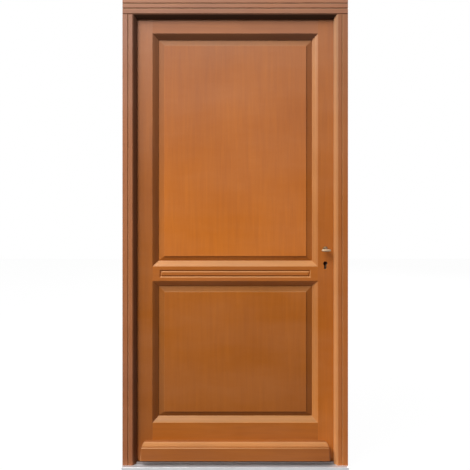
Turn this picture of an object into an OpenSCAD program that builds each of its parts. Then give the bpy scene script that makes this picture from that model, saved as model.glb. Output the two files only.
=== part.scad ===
// Solid wood front door in its frame: panelled leaf, weatherboard, threshold, hinges and mortise lock.
// X runs to the right seen from outside, Y into the house, Z up. Millimetres.

/* [Frame] */
// overall width over both jambs
frame_w = 1075; // [900:1:1150]
// overall height, floor to top of head
frame_h = 2250; // [2100:1:2400]
// width of each jamb's outside face
jamb_face = 46.5; // [42:0.5:64]
// plain band along the outer edge of jambs and head
face_band = 23.5; // [18:0.5:28]
// width of the V grooves in the outside face
face_groove_w = 6.5; // [4:0.5:9]
// depth of the V grooves in the outside face
face_groove_d = 4; // [2:0.5:6]
// upper bead of the head
head_bead_mid = 17; // [12:0.5:24]
// lower bead of the head
head_bead_low = 20; // [16:0.5:28]
// width of the rounded inner edge of the jambs
arris = 18; // [8:0.5:21]
// width of the rounded inner edge of the head
head_arris = 21; // [8:0.5:24]
// depth of the rounded edge, from the face towards the leaf
arris_d = 21; // [14:0.5:24]
// depth of the stop from the outside face
stop_d = 26; // [25:1:50]
// lap of the leaf behind the stop
lap = 12; // [11:0.5:16]
// gap around the edges of the leaf
edge_gap = 4; // [3:0.5:6]
// step from the house face of the leaf to that of the frame
back_lip = 1; // [0.5:0.5:4]
// width of the tenon on top of each jamb
jamb_tenon_w = 26; // [16:1:30]
// thickness of the tenon on top of each jamb
jamb_tenon_t = 14; // [10:1:16]
// length of the tenon on top of each jamb
jamb_tenon_l = 40; // [20:1:55]

/* [Sill] */
// height of the aluminium threshold
sill_h = 20; // [18:0.5:25]
// projection of the threshold in front of the jambs
sill_nose = 20; // [8:1:30]
// wall thickness of the threshold profiles
sill_wall = 2.5; // [1.5:0.5:3]
// rounding of the threshold's front arris
sill_round = 2; // [0.5:0.5:2.5]
// height of the stop rib on the threshold
rib_h = 11; // [10.5:0.5:12]
// thickness of the stop rib
rib_t = 12; // [9:0.5:16]
// distance from the leaf's outside face to the insulating bar
break_in = 8; // [4:1:12]
// width of the insulating bar
break_w = 12; // [8:1:16]
// tongue of the insulating bar, into each profile
break_tongue = 3; // [2:0.5:4]
// height of the tongues of the insulating bar
break_tongue_h = 6; // [4:0.5:8]
// gap between the leaf's foot and the threshold
foot_gap = 4; // [3:0.5:6]

/* [Seals] */
// gap between stop and leaf that the seals fill
seal_gap = 4; // [3.5:0.1:5]
// width of the kerf that holds a seal
kerf_w = 3; // [2.5:0.1:4]
// depth of the kerf that holds a seal
kerf_d = 6; // [5:0.5:7]
// play of the seal's stem in its kerf
seal_play = 0.2; // [0.1:0.05:0.3]
// width of the seal's flange
seal_w = 8; // [6:0.5:9]
// thickness of the seal's flange
seal_flange = 1; // [0.6:0.1:1.5]
// wall of the seal's hollow bulb
seal_wall = 0.8; // [0.6:0.1:1.2]
// gap between the seal's bulb and the leaf
seal_touch = 0.3; // [0.2:0.05:0.5]

/* [Leaf] */
// thickness of the leaf
leaf_t = 54; // [50:0.5:60]
// flat face of each stile, edge of leaf to moulding
stile_face = 86; // [80:1:110]
// flat face of the top rail
top_rail_face = 79; // [65:0.5:110]
// drop of the middle rail's lower flat edge below the knob
rail_drop = 154; // [145:1:170]
// flat face of the middle rail
mid_rail_face = 70; // [66:0.5:80]
// height of the bottom rail's upper flat edge above the floor
bottom_rail_z = 211.5; // [190:0.5:260]
// length of the top and bottom tenons past the groove
tenon_l = 56; // [30:1:60]
// length of the middle rail's tenons past the groove
mid_tenon_l = 8; // [5:1:10]
// set-back of a tenon from the edges of its rail
tenon_back = 24; // [14:1:30]
// play around tenons in their mortises
tenon_play = 0.2; // [0.1:0.05:0.4]

/* [Mouldings] */
// slope at which the mouldings' curves start
tilt_from = 30; // [10:1:40]
// slope at which the mouldings' curves end
tilt_to = 46; // [42:1:70]
// small step beside each round of the moulding
quirk_d = 1.6; // [1:0.1:2.5]
// width of the outer round
ovolo_w = 16; // [12:0.5:18]
// depth of the outer round
ovolo_d = 10.6; // [8:0.2:11]
// flat between the two rounds
quirk_w = 1.5; // [1:0.1:2.5]
// width of the inner round
bead_w = 8.5; // [6:0.5:10]
// depth of the inner round
bead_d = 6.2; // [5:0.2:7]
// width of the panel groove
groove_w = 10; // [8:0.5:11]
// depth of the panel groove
groove_d = 14; // [12:0.5:16]
// width of each V groove of the middle rail's loop
loop_w = 11; // [7:0.5:12]
// depth of each V groove of the middle rail's loop
loop_d = 5; // [3:0.5:7]
// height of the loop
loop_h = 36.5; // [32:0.5:44]
// distance from the stile's edge to the loop
loop_inset = 34.5; // [30:0.5:60]

/* [Panels] */
// half thickness of the panels at the field
field_half = 15; // [13:0.5:24]
// step down from the field to the bevel
field_step = 3.5; // [2:0.5:5]
// width of the bevel around the field
bevel_w = 29; // [20:0.5:40]
// width of the bevel at the panel's foot
foot_bevel_w = 22; // [15:0.5:40]
// length of the panel's tongue in the groove
tongue_l = 12; // [9:0.5:12]
// play of the tongue in the groove, each side
tongue_play = 0.2; // [0.1:0.05:0.4]

/* [Weatherboard] */
// height of the weatherboard's top edge above the floor
wb_top_z = 128; // [118:1:140]
// height of the weatherboard's underside above the floor
wb_bottom_z = 48; // [44:0.5:54]
// projection of the weatherboard from the leaf
wb_out = 45; // [36:1:52]
// height of the upright step above the weatherboard's hollow
wb_wall = 7; // [4:0.5:10]
// height of the hollow slope on top
wb_slope = 9; // [6:0.5:14]
// narrow ledge along the weatherboard's top edge
wb_ledge = 2; // [1:0.5:4]
// set-back of the slope behind the nose
wb_step = 10; // [8.5:0.5:13]
// width of the fine groove under the slope
wb_quirk = 5; // [3:0.5:5]
// drop of the bead's top below the hollow's edge
wb_drop = 1.5; // [1:0.5:3]
// radius of the bead on the nose
wb_bead = 4; // [3:0.5:5]
// width of the drip groove underneath
drip_w = 6; // [4:0.5:8]
// depth of the drip groove underneath
drip_d = 5; // [3:0.5:7]
// distance from the reveal to the weatherboard's lower corners
wb_side_low = 19; // [16:0.5:30]
// further set-back of the corners at the nose's top
wb_side_nose = 9; // [4:0.5:14]
// further set-back of the corners at the top edge
wb_side_top = 15; // [8:0.5:20]
// rounding of the nose's corners seen from above
wb_corner = 10; // [6:0.5:14]
// height of the weatherboard's tongue in the leaf
wb_tongue_h = 10; // [8:0.5:12]
// depth of the weatherboard's tongue in the leaf
wb_tongue_d = 7; // [5:0.5:8]
// height of the tongue's underside above the floor
wb_tongue_z = 76; // [68:1:84]
// distance from the tongue's ends to the weatherboard's corners
wb_tongue_in = 40; // [25:1:80]

/* [Hinges] */
// height of each hinge
hinge_h = 140; // [120:1:160]
// distance of the end hinges' middles from the ends of the leaf
hinge_in = 220; // [180:1:260]
// radius of the knuckles
knuckle_r = 8; // [7:0.1:9]
// radius of the pins
pin_r = 4.5; // [3.5:0.1:5]
// running clearance of the pins in the leaf halves
pin_clear = 0.05; // [0.03:0.01:0.1]
// thickness of the washers between the halves
washer_t = 1.2; // [0.8:0.1:2]
// distance from the frame's house face to the hinge axis
axis_out = 9; // [8.8:0.1:11]
// thickness of the hinge plates
plate_t = 3; // [2.5:0.1:3.5]
// width of the hinge plates
plate_w = 34; // [30:0.5:38]
// play around the hinge plates in their recesses
plate_play = 0.2; // [0.1:0.05:0.4]

/* [Lock] */
// distance from the leaf's edge to the knob's axis
backset = 50; // [48:1:54]
// height of the knob's axis above the floor
knob_z = 1049; // [1035:1:1060]
// distance from the knob's axis down to the key's axis
lock_pitch = 70; // [68:1:72]
// depth of the lock case
case_d = 80; // [78:1:82]
// height of the lock case
case_h = 160; // [156:1:170]
// height of the case's middle below the knob's axis
case_drop = 33; // [31:1:36]
// thickness of the lock case
case_t = 15; // [14.5:0.1:17]
// wall thickness of the lock case
case_wall = 2; // [1.5:0.1:2.2]
// play around the lock case in its mortise
case_play = 0.3; // [0.2:0.05:0.6]
// height of the faceplate
faceplate_h = 240; // [225:1:260]
// width of the faceplate
faceplate_w = 22; // [20:0.5:24]
// thickness of the faceplate
faceplate_t = 3; // [2.5:0.1:3.5]
// clearance of the bolts in the lock
bolt_clear = 0.3; // [0.2:0.05:0.4]
// height of the latch's middle above the knob's axis
latch_up = 24; // [23.5:0.1:24.5]
// height of the latch's head
latch_h = 22; // [19:0.5:24]
// height of the latch's tail
latch_tail_h = 16; // [15:0.2:16.6]
// length of the latch
latch_l = 74; // [72:0.5:75]
// height of the deadbolt's middle above the key's axis
bolt_up = 25; // [24:0.5:26]
// height of the deadbolt
bolt_h = 28; // [24:0.5:29]
// length of the deadbolt
bolt_l = 69; // [66:0.5:70]
// throw of the deadbolt
bolt_throw = 20; // [16:0.5:20]
// notch for the key in the deadbolt's lower edge
talon_w = 9; // [7:0.5:11]
// depth of the notch for the key
talon_d = 5; // [3:0.5:6]
// radius of the guide posts in the case
post_r = 3; // [2.5:0.1:3.5]
// distance from the faceplate to the guide posts
post_in = 22; // [20:0.5:24]
// radius of the keyhole's round head
key_head_r = 10.5; // [8:0.1:12]
// width of the keyhole's slot
key_slot_w = 12; // [8:0.1:13]
// length of the keyhole's slot below the head's middle
key_slot_l = 28; // [24:0.5:29]
// length of the strike plate
strike_h = 200; // [190:1:220]
// width of the strike plate
strike_w = 26; // [24:0.5:30]
// thickness of the strike plate
strike_t = 3; // [2:0.1:3.5]
// clearance around the bolts in the strike plate
strike_clear = 1.5; // [1:0.1:2]
// depth of the pockets behind the strike plate
pocket_d = 20; // [18:0.5:22]

/* [Keyhole flap] */
// radius of the flap's round ends
flap_r = 12.5; // [12:0.5:14]
// thickness of the flap
flap_t = 2; // [1.5:0.1:3]
// height of the flap's pin above the key's axis
flap_up = 18; // [17:0.5:20]
// drop of the flap's lower round end below the key's axis
flap_drop = 18.5; // [17.5:0.5:22]
// radius of the flap's pin
flap_pin_r = 2; // [1.5:0.1:2.5]
// radius of the pin's head
flap_head_r = 4; // [3.5:0.1:5]
// height of the pin's head
flap_head_h = 1.5; // [1:0.1:2]
// length of the pin in the stile
flap_pin_l = 12; // [8:0.5:14]
// play of the flap on its pin and on the leaf
flap_play = 0.3; // [0.2:0.05:0.4]

/* [Knob] */
// angle the knob turns through
knob_swing = 40; // [35:1:42]
// side of the square spindle
spindle_s = 6; // [5:0.1:7]
// clearance of the square holes on the spindle
spindle_clear = 0.1; // [0.05:0.01:0.15]
// length of the spindle in each knob
spindle_in = 17; // [14:0.5:20]
// radius of the bore around the knob's neck
bore_r = 12; // [10:0.1:13]
// radius of the knob's neck
neck_r = 6; // [5.4:0.1:7]
// distance from the leaf's face to the axis of the cross bar
bar_out = 28; // [24:0.5:36]
// drop of the cross bar below the knob's axis
bar_drop = 4; // [0:0.5:6]
// length of the cross bar
bar_l = 44; // [38:0.5:60]
// largest radius of the cross bar
bar_r = 6.5; // [6.2:0.1:8]
// radius of the cross bar's ends
bar_end_r = 3.5; // [2.5:0.1:4.5]
// gap between the neck's end and the follower
neck_gap = 0.5; // [0.3:0.1:1]
// radius of the follower's bearing in the case
hub_r = 9; // [8:0.1:10]
// running clearance of the follower in the case
hub_clear = 0.1; // [0.05:0.01:0.1]
// radius of the follower's flange
flange_r = 11; // [10.5:0.1:11.5]
// reach of the follower's arm
arm_r = 19; // [18.8:0.1:19.3]
// width of the follower's arm
arm_w = 3.4; // [2.8:0.1:3.8]
// radius of the arm's round tip
arm_tip_r = 3; // [2.6:0.1:3.2]
// play of the arm's tip in the latch
arm_play = 0.3; // [0.2:0.05:0.4]
// radius of the cross pins in the knobs
cross_pin_r = 1.5; // [1:0.1:1.6]

/* [Fasteners] */
// shank radius of the wood screws
screw_r = 2; // [1.5:0.1:2.2]
// head radius of the wood screws
screw_head_r = 4; // [3.4:0.1:4.2]
// height of the countersunk heads
screw_head_h = 2; // [1.6:0.1:2.4]
// length of the wood screws
screw_l = 25; // [18:0.5:30]
// clearance around screws
screw_clear = 0.1; // [0.05:0.05:0.2]
// radius of the wall fixing holes
fix_r = 4; // [3:0.1:5]
// radius of the counterbores of the wall fixing holes
fix_cap_r = 8; // [6:0.1:9]
// depth of the counterbores of the wall fixing holes
fix_cap_d = 8; // [5:0.5:10]
// height of the lowest wall fixing
fix_low = 420; // [390:1:440]
// distance between the two fixings of a pair
fix_pitch = 440; // [400:1:450]
// height of the third wall fixing
fix_high = 1340; // [1300:1:1360]
// shank radius of the sill screws
sill_screw_r = 2.5; // [2:0.1:3]
// head radius of the sill screws
sill_head_r = 4.5; // [4:0.1:5]
// head height of the sill screws
sill_head_h = 3; // [2:0.1:3.5]
// length of the sill screws in the jamb
sill_screw_l = 55; // [40:1:70]

/* [Hidden] */
$fn = 48;
arc_n = 7;
over = 1;
head_face = face_band + 2 * face_groove_w + head_bead_mid + head_bead_low;
frame_d = stop_d + seal_gap + leaf_t + back_lip;
y_front = -frame_d / 2;
y_back = frame_d / 2;
y_stop = y_front + stop_d;
y_leaf = y_stop + seal_gap;
y_in = y_leaf + leaf_t;
y_mid = (y_leaf + y_in) / 2;
x_out = frame_w / 2;
x_stop = x_out - jamb_face - arris;
x_edge = x_stop + lap;
x_reb = x_edge + edge_gap;
x_kerf = x_stop + lap / 2;
z_stop = frame_h - head_face - head_arris;
z_top = z_stop + lap;
z_reb = z_top + edge_gap;
z_kerf = z_stop + lap / 2;
z_foot = sill_h + foot_gap;
stick_w = ovolo_w + quirk_w + bead_w;
x_flat = x_edge - stile_face;
x_open = x_flat - stick_w;
x_groove = x_open + groove_d;
z_top_flat = z_top - top_rail_face;
mid_rail_z = knob_z - rail_drop;
z_mid_top = mid_rail_z + mid_rail_face;
jamb_tenon_x = (x_stop + x_out) / 2;
jamb_tenon_y = (y_front + y_stop) / 2;
y_nose = y_front - sill_nose;
y_break = y_leaf + break_in;
sill_seal_z = sill_h + rib_h / 2;
bulb_r = (seal_gap - seal_touch) / 2;
hinge_x = -(x_reb + x_edge) / 2;
hinge_y = y_back + axis_out;
hinge_zs = [z_foot + hinge_in, (z_foot + z_top) / 2, z_top - hinge_in];
half_h = (hinge_h - washer_t) / 2;
plate_screw_y = [0.35, 0.7];
plate_screw_z = [0.36, 0.13];
lock_x = x_edge - backset;
key_z = knob_z - lock_pitch;
case_z = knob_z - case_drop;
case_x1 = x_edge - faceplate_t;
case_x0 = case_x1 - case_d;
case_y0 = y_mid - case_t / 2;
case_y1 = y_mid + case_t / 2;
bolt_t = case_t - 2 * case_wall - 2 * bolt_clear;
bolt_nose = x_edge - bolt_clear;
latch_z = knob_z + latch_up;
bolt_z = key_z + bolt_up;
latch_throw = 2 * arm_r * sin(knob_swing / 2);
post_x = case_x1 - post_in;
strike_z = (latch_z + bolt_z) / 2;
fix_zs = [fix_low, fix_low + fix_pitch, fix_high, fix_high + fix_pitch];
wb_low = x_stop - wb_side_low;
wb_nose = wb_low - wb_side_nose;
wb_up = wb_nose - wb_side_top;
wb_nose_z = wb_top_z - wb_wall - wb_slope;
neck_in = case_y0 - neck_gap;
flap_pin_z = key_z + flap_up;
flap_out = y_in + flap_play + flap_t;
pin_y_out = neck_in - spindle_in / 2;
pin_y_in = 2 * y_mid - pin_y_out;
sill_mid = (y_nose + y_break) / 2;
sill_screw_ys = [(sill_mid + y_break - break_tongue) / 2, (y_break + break_w + break_tongue + y_back) / 2];

// points of a rounded step that starts and ends at a slope
function sloped_step(a, b, w, d) =
  [for (i = [0:arc_n]) let (t = tilt_from + (tilt_to - tilt_from) * i / arc_n)
    [a + w * (sin(t) - sin(tilt_from)) / (sin(tilt_to) - sin(tilt_from)),
     b + d * (cos(tilt_from) - cos(t)) / (cos(tilt_from) - cos(tilt_to))]];

// moulding as distance from the flat edge and depth below the face
stick = concat(
  [[0, 0]],
  sloped_step(0, quirk_d, ovolo_w, ovolo_d),
  sloped_step(ovolo_w + quirk_w, 2 * quirk_d + ovolo_d, bead_w, bead_d));

// both faces of a moulded and grooved edge: a is the flat edge, s points into the opening
function moulded_edge(a, s) = concat(
  [for (p = stick) [a + s * p[0], y_leaf + p[1]]],
  [[a + s * stick_w, y_mid - groove_w / 2],
   [a + s * (stick_w - groove_d), y_mid - groove_w / 2],
   [a + s * (stick_w - groove_d), y_mid + groove_w / 2],
   [a + s * stick_w, y_mid + groove_w / 2]],
  [for (p = reversed(stick)) [a + s * p[0], y_in - p[1]]]);

// section of jamb or head: outer edge, width of face, width of rounded edge, starts of the V grooves
function frame_section(out, face, edge, starts) = concat(
  [[out, y_front]],
  [for (s = starts) for (p = [[s, 0], [s + face_groove_w / 2, face_groove_d], [s + face_groove_w, 0]])
    [out - p[0], y_front + p[1]]],
  [for (p = sloped_step(face, 0, edge, arris_d)) [out - p[0], y_front + p[1]]],
  [[out - face - edge, y_stop],
   [out - face - edge + lap / 2 - kerf_w / 2, y_stop],
   [out - face - edge + lap / 2 - kerf_w / 2, y_stop - kerf_d],
   [out - face - edge + lap / 2 + kerf_w / 2, y_stop - kerf_d],
   [out - face - edge + lap / 2 + kerf_w / 2, y_stop],
   [out - face - edge + lap + edge_gap, y_stop],
   [out - face - edge + lap + edge_gap, y_back],
   [out, y_back]]);

// list in the other order
function reversed(v) = [for (i = [len(v) - 1:-1:0]) v[i]];

// half thickness of a panel by distance from its edge, with a bevel of width w
function panel_half(w) = [
  [0, groove_w / 2 - tongue_play],
  [tongue_l, groove_w / 2 - tongue_play],
  [tongue_l + w, field_half - field_step],
  [tongue_l + w, field_half]];

// one face of a panel from edge a to edge b, s is the side of the face
function panel_face(a, b, foot, s) = concat(
  [for (p = panel_half(foot)) [a + p[0], y_mid + s * p[1]]],
  [for (p = reversed(panel_half(bevel_w))) [b - p[0], y_mid + s * p[1]]]);

// section of a panel from edge a to edge b, tongues included, foot is the bevel at a
function panel_section(a, b, foot) = concat(
  panel_face(a, b, foot, -1),
  reversed(panel_face(a, b, foot, 1)));

// extrudes a section given as [z, y] along X, centred
module along_x(len) {
  translate([len / 2, 0, 0]) rotate([0, -90, 0]) linear_extrude(height = len) children();
}

// extrudes a section given as [x, z] along Y from y0 to y1
module along_y(y0, y1) {
  translate([0, y1, 0]) rotate([90, 0, 0]) linear_extrude(height = y1 - y0) children();
}

// box between two corners
module box(a, b) {
  translate(a) cube([b[0] - a[0], b[1] - a[1], b[2] - a[2]]);
}

// cylinder along Y
module rod_y(x, z, y0, y1, r) {
  translate([x, y1, z]) rotate([90, 0, 0]) cylinder(h = y1 - y0, r = r);
}

// countersunk screw with its head at the origin, pointing along +X; g grows it into its hole
module screw(g) {
  rotate([0, 90, 0]) {
    cylinder(h = screw_l, r = screw_r + g);
    cylinder(h = screw_head_h, r1 = screw_head_r + g, r2 = screw_r + g);
  }
}

module head_plain() {
  along_x(frame_w)
    polygon(frame_section(frame_h, head_face, head_arris,
      [face_band, face_band + face_groove_w + head_bead_mid]));
}

module jamb_tenon(g) {
  box([jamb_tenon_x - jamb_tenon_w / 2 - g, jamb_tenon_y - jamb_tenon_t / 2 - g, z_stop - over],
      [jamb_tenon_x + jamb_tenon_w / 2 + g, jamb_tenon_y + jamb_tenon_t / 2 + g, z_stop + jamb_tenon_l + g]);
}

module sill_screw_set(g, s) {
  for (y = sill_screw_ys) translate([s * jamb_tenon_x, y, sill_h - sill_wall - g])
    cylinder(h = sill_screw_l + sill_wall + 2 * g, r = sill_screw_r + g);
}

// hole in the sill's underside for the head of a screw
module sill_access(s, y) {
  translate([s * jamb_tenon_x, y, -over]) cylinder(h = sill_wall + 2 * over, r = sill_head_r + over);
}

// right-hand jamb without fittings
module jamb_plain() {
  difference() {
    translate([0, 0, sill_h]) linear_extrude(height = z_reb - sill_h)
      polygon(frame_section(x_out, jamb_face, arris, [face_band]));
    head_plain();
    box([x_stop - over, y_stop - kerf_d - over, z_stop], [x_out + over, y_stop, z_reb + over]);
    for (z = fix_zs) translate([x_reb, y_mid, z]) rotate([0, 90, 0]) {
      translate([0, 0, -over]) cylinder(h = x_out - x_reb + 2 * over, r = fix_r);
      translate([0, 0, -over]) cylinder(h = fix_cap_d + over, r = fix_cap_r);
    }
    sill_screw_set(screw_clear, 1);
  }
  jamb_tenon(0);
}

module hinge_jamb() color("peru") difference() {
  mirror([1, 0, 0]) jamb_plain();
  for (z = hinge_zs) {
    box([-x_reb - plate_t, y_back - plate_w - plate_play, z - hinge_h / 2 - plate_play],
        [-x_reb + over, y_back + over, z + hinge_h / 2 + plate_play]);
    plate_screws(z, screw_clear, -1);
  }
}

module lock_jamb() color("peru") difference() {
  jamb_plain();
  box([x_reb - over, y_mid - strike_w / 2 - plate_play, strike_z - strike_h / 2 - plate_play],
      [x_reb + strike_t, y_mid + strike_w / 2 + plate_play, strike_z + strike_h / 2 + plate_play]);
  strike_opening(latch_z, latch_h, x_reb, x_reb + strike_t + pocket_d);
  strike_opening(bolt_z, bolt_h, x_reb, x_reb + strike_t + pocket_d);
  strike_screw_set(screw_clear);
}

module frame_head() color("sandybrown") difference() {
  head_plain();
  for (m = [0, 1]) mirror([m, 0, 0]) jamb_tenon(tenon_play);
}

module sill_cell(y0, y1, h) {
  translate([sill_wall, y0]) square([h - 2 * sill_wall, y1 - y0]);
}

module sill() color("lightgray") difference() {
  union() {
    along_x(frame_w) difference() {
      union() {
        translate([0, y_nose + sill_round]) square([sill_h, y_break - y_nose - sill_round]);
        translate([0, y_nose]) square([sill_h - sill_round, sill_round + over]);
        translate([sill_h - sill_round, y_nose + sill_round]) circle(r = sill_round);
      }
      sill_cell(y_nose + sill_wall, sill_mid, sill_h);
      sill_cell(sill_mid + sill_wall, y_break - break_tongue - sill_wall, sill_h);
      translate([sill_h / 2 - break_tongue_h / 2, y_break - break_tongue])
        square([break_tongue_h, break_tongue + over]);
    }
    box([-x_stop + plate_play, y_stop - rib_t, sill_h - sill_wall],
        [x_stop - plate_play, y_stop, sill_h + rib_h]);
  }
  along_x(frame_w) translate([sill_seal_z - kerf_w / 2, y_stop - kerf_d]) square([kerf_w, kerf_d + over]);
  for (s = [-1, 1]) {
    sill_screw_set(screw_clear, s);
    sill_access(s, sill_screw_ys[0]);
  }
}

module sill_break() color("dimgray") along_x(frame_w) {
  translate([0, y_break]) square([sill_h, break_w]);
  translate([sill_h / 2 - break_tongue_h / 2, y_break - break_tongue])
    square([break_tongue_h, break_w + 2 * break_tongue]);
}

module sill_inner() color("silver") difference() {
  along_x(frame_w) difference() {
    translate([0, y_break + break_w]) square([sill_h, y_back - y_break - break_w]);
    sill_cell(y_break + break_w + break_tongue + sill_wall, y_back - sill_wall, sill_h);
    translate([sill_h / 2 - break_tongue_h / 2, y_break + break_w - over])
      square([break_tongue_h, break_tongue + over]);
  }
  for (s = [-1, 1]) {
    sill_screw_set(screw_clear, s);
    sill_access(s, sill_screw_ys[1]);
  }
}

module sill_screws() color("gray") for (s = [-1, 1]) {
  sill_screw_set(0, s);
  for (y = sill_screw_ys) translate([s * jamb_tenon_x, y, sill_h - sill_wall - sill_head_h])
    cylinder(h = sill_head_h, r = sill_head_r);
}

// seal section around its kerf at [0, y_stop]
module seal_section() difference() {
  union() {
    translate([-kerf_w / 2 + seal_play, y_stop - kerf_d + seal_play])
      square([kerf_w - 2 * seal_play, kerf_d - seal_play + seal_flange / 2]);
    translate([-seal_w / 2, y_stop]) square([seal_w, seal_flange]);
    translate([0, y_stop + bulb_r]) circle(r = bulb_r);
  }
  translate([0, y_stop + bulb_r]) circle(r = bulb_r - seal_wall);
}

// the stem ends under the head, the flange and the bulb run on past the head seal
module jamb_seal(s) difference() {
  translate([s * x_kerf, 0, sill_h]) linear_extrude(height = z_kerf + seal_w / 2 - sill_h) seal_section();
  box([s * x_kerf - kerf_w, y_stop - kerf_d - over, z_stop], [s * x_kerf + kerf_w, y_stop, z_reb]);
}

module hinge_jamb_seal() color("black") jamb_seal(-1);

module lock_jamb_seal() color("black") jamb_seal(1);

module head_seal() color("black")
  translate([0, 0, z_kerf]) along_x(2 * (x_kerf - seal_w / 2 - seal_play)) seal_section();

module sill_seal() color("black")
  translate([0, 0, sill_seal_z]) along_x(2 * (x_stop - plate_play - seal_play)) seal_section();

// screws of one hinge plate, s is -1 into the jamb and 1 into the leaf
module plate_screws(z, g, s) {
  for (k = [0, 1]) for (m = [-1, 1])
    translate([s < 0 ? -x_reb : -x_edge, y_in - plate_w * plate_screw_y[k],
               z + m * hinge_h * plate_screw_z[k]])
      mirror([s < 0 ? 1 : 0, 0, 0]) screw(g);
}

module hinge_frame_half(z) difference() {
  union() {
    box([-x_reb - plate_t, y_back - plate_w, z - hinge_h / 2], [-x_reb, y_back, z + hinge_h / 2]);
    box([-x_reb - plate_t, y_back - over, z - hinge_h / 2], [-x_reb, hinge_y, z - hinge_h / 2 + half_h]);
    translate([hinge_x, hinge_y, z - hinge_h / 2]) cylinder(h = half_h, r = knuckle_r);
  }
  translate([hinge_x, hinge_y, z - hinge_h / 2 - over]) cylinder(h = half_h + 2 * over, r = pin_r);
  plate_screws(z, screw_clear, -1);
}

module hinge_leaf_half(z) difference() {
  union() {
    box([-x_edge, y_in - plate_w, z - hinge_h / 2], [-x_edge + plate_t, y_in, z + hinge_h / 2]);
    box([-x_edge, y_in - over, z + hinge_h / 2 - half_h], [-x_edge + plate_t, hinge_y, z + hinge_h / 2]);
    translate([hinge_x, hinge_y, z + hinge_h / 2 - half_h]) cylinder(h = half_h, r = knuckle_r);
  }
  translate([hinge_x, hinge_y, z - over])
    cylinder(h = half_h + washer_t / 2 - knuckle_r / 2 + over, r = pin_r + pin_clear);
  plate_screws(z, screw_clear, 1);
}

module top_hinge_frame_half() color("silver") hinge_frame_half(hinge_zs[2]);

module middle_hinge_frame_half() color("silver") hinge_frame_half(hinge_zs[1]);

module bottom_hinge_frame_half() color("silver") hinge_frame_half(hinge_zs[0]);

module top_hinge_leaf_half() color("silver") hinge_leaf_half(hinge_zs[2]);

module middle_hinge_leaf_half() color("silver") hinge_leaf_half(hinge_zs[1]);

module bottom_hinge_leaf_half() color("silver") hinge_leaf_half(hinge_zs[0]);

module hinge_pins() color("gray") for (z = hinge_zs)
  translate([hinge_x, hinge_y, z - hinge_h / 2]) cylinder(h = hinge_h - knuckle_r, r = pin_r);

module hinge_washers() color("gold") for (z = hinge_zs)
  translate([hinge_x, hinge_y, z - washer_t / 2]) difference() {
    cylinder(h = washer_t, r = knuckle_r);
    translate([0, 0, -over]) cylinder(h = washer_t + 2 * over, r = pin_r + pin_clear);
  }

module frame_hinge_screws() color("gray") for (z = hinge_zs) plate_screws(z, 0, -1);

module leaf_hinge_screws() color("gray") for (z = hinge_zs) plate_screws(z, 0, 1);

module strike_opening(z, h, x0, x1) {
  box([x0 - over, y_mid - bolt_t / 2 - strike_clear, z - h / 2 - strike_clear],
      [x1, y_mid + bolt_t / 2 + strike_clear, z + h / 2 + strike_clear]);
}

module strike_screw_set(g) {
  for (m = [-1, 1]) translate([x_reb, y_mid, strike_z + m * (strike_h / 2 - 3 * screw_head_r)]) screw(g);
}

module strike_plate() color("silver") difference() {
  box([x_reb, y_mid - strike_w / 2, strike_z - strike_h / 2],
      [x_reb + strike_t, y_mid + strike_w / 2, strike_z + strike_h / 2]);
  strike_opening(latch_z, latch_h, x_reb, x_reb + strike_t + over);
  strike_opening(bolt_z, bolt_h, x_reb, x_reb + strike_t + over);
  strike_screw_set(screw_clear);
}

module strike_screws() color("gray") strike_screw_set(0);

// right-hand stile without fittings
module stile_plain() {
  translate([0, 0, z_foot]) linear_extrude(height = z_top - z_foot)
    polygon(concat([[x_edge, y_leaf]], moulded_edge(x_flat, -1), [[x_edge, y_in]]));
}

// tenon past the groove on the right, g grows it into its mortise
module tenon(z0, z1, len, g) {
  box([x_open, y_mid - groove_w / 2 + tenon_play - g, z0 - g],
      [x_groove + len + g, y_mid + groove_w / 2 - tenon_play + g, z1 + g]);
}

module top_tenon(g) {
  tenon(z_top_flat, z_top - tenon_back, tenon_l, g);
}

module mid_tenon(g) {
  tenon(mid_rail_z, z_mid_top, mid_tenon_l, g);
}

module bottom_tenon(g) {
  tenon(z_foot + tenon_back, bottom_rail_z, tenon_l, g);
}

module wb_groove(g) {
  box([-wb_low + wb_tongue_in - g, y_leaf - over, wb_tongue_z - g],
      [wb_low - wb_tongue_in + g, y_leaf + wb_tongue_d + g, wb_tongue_z + wb_tongue_h + g]);
}

module stile_cut() {
  difference() {
    stile_plain();
    top_tenon(tenon_play);
    mid_tenon(tenon_play);
    bottom_tenon(tenon_play);
    wb_groove(tenon_play);
  }
}

module hinge_stile() color("peru") difference() {
  mirror([1, 0, 0]) stile_cut();
  for (z = hinge_zs) {
    box([-x_edge - over, y_in - plate_w - plate_play, z - hinge_h / 2 - plate_play],
        [-x_edge + plate_t, y_in + over, z + hinge_h / 2 + plate_play]);
    plate_screws(z, screw_clear, 1);
  }
}

module keyhole_2d() {
  translate([lock_x, key_z]) circle(r = key_head_r);
  translate([lock_x - key_slot_w / 2, key_z - key_slot_l + key_slot_w / 2])
    square([key_slot_w, key_slot_l - key_slot_w / 2]);
  translate([lock_x, key_z - key_slot_l + key_slot_w / 2]) circle(r = key_slot_w / 2);
}

module faceplate_screw_set(g) {
  for (m = [-1, 1]) translate([x_edge, y_mid, case_z + m * (faceplate_h / 2 - 3 * screw_head_r)])
    mirror([1, 0, 0]) screw(g);
}

module lock_stile() color("peru") difference() {
  stile_cut();
  box([case_x0 - case_play, case_y0 - case_play, case_z - case_h / 2 - case_play],
      [x_edge + over, case_y1 + case_play, case_z + case_h / 2 + case_play]);
  box([case_x1, y_mid - faceplate_w / 2 - plate_play, case_z - faceplate_h / 2 - plate_play],
      [x_edge + over, y_mid + faceplate_w / 2 + plate_play, case_z + faceplate_h / 2 + plate_play]);
  rod_y(lock_x, knob_z, y_leaf - over, y_in + over, bore_r);
  along_y(y_leaf - over, y_in + over) keyhole_2d();
  faceplate_screw_set(screw_clear);
  flap_pivot(y_in - flap_pin_l, y_in + over, 0);
}

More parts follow.
